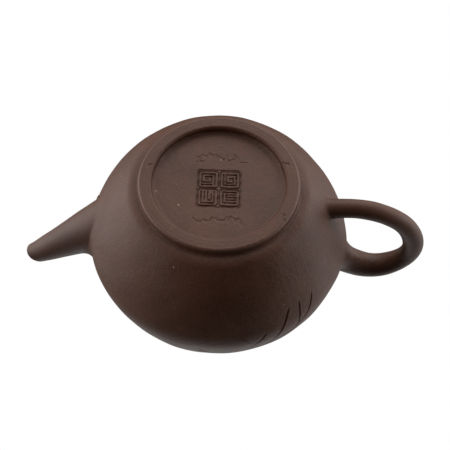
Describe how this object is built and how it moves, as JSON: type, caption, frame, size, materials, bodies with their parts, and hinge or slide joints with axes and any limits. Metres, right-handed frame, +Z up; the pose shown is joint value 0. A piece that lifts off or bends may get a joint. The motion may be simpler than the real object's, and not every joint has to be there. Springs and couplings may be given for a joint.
{
  "type": "teapot",
  "caption": "Small unglazed clay teapot with a squat round body on a foot ring, an ear-shaped handle, a short spout and a lift-off lid.",
  "frame": {"origin": "centre of the foot, on the plane that the foot ring rests on, within 1 mm of the middle of the part's footprint", "axes": "+Z up along the pot's axis, +X along the spout, -X along the handle, -Y the side with the incised grass strokes"},
  "size_m": [0.1353, 0.084, 0.0722],
  "materials": {
    "zisha_clay": "unglazed satin, dark purple-brown"
  },
  "bodies": {
    "pot": {"base_disc": "zisha_clay", "foot_ring": "zisha_clay", "body_wall": "zisha_clay", "shoulder_disc": "zisha_clay", "mouth_ring": "zisha_clay", "spout": "zisha_clay", "handle": "zisha_clay"},
    "lid": {"lid_plate": "zisha_clay", "lid_flange": "zisha_clay", "knob": "zisha_clay"}
  },
  "joints": [
    {"name": "lid_lift", "type": "slide", "parent": "pot", "child": "lid", "axis": [0, 0, 1], "range_m": [0, 0.05]}
  ]
}
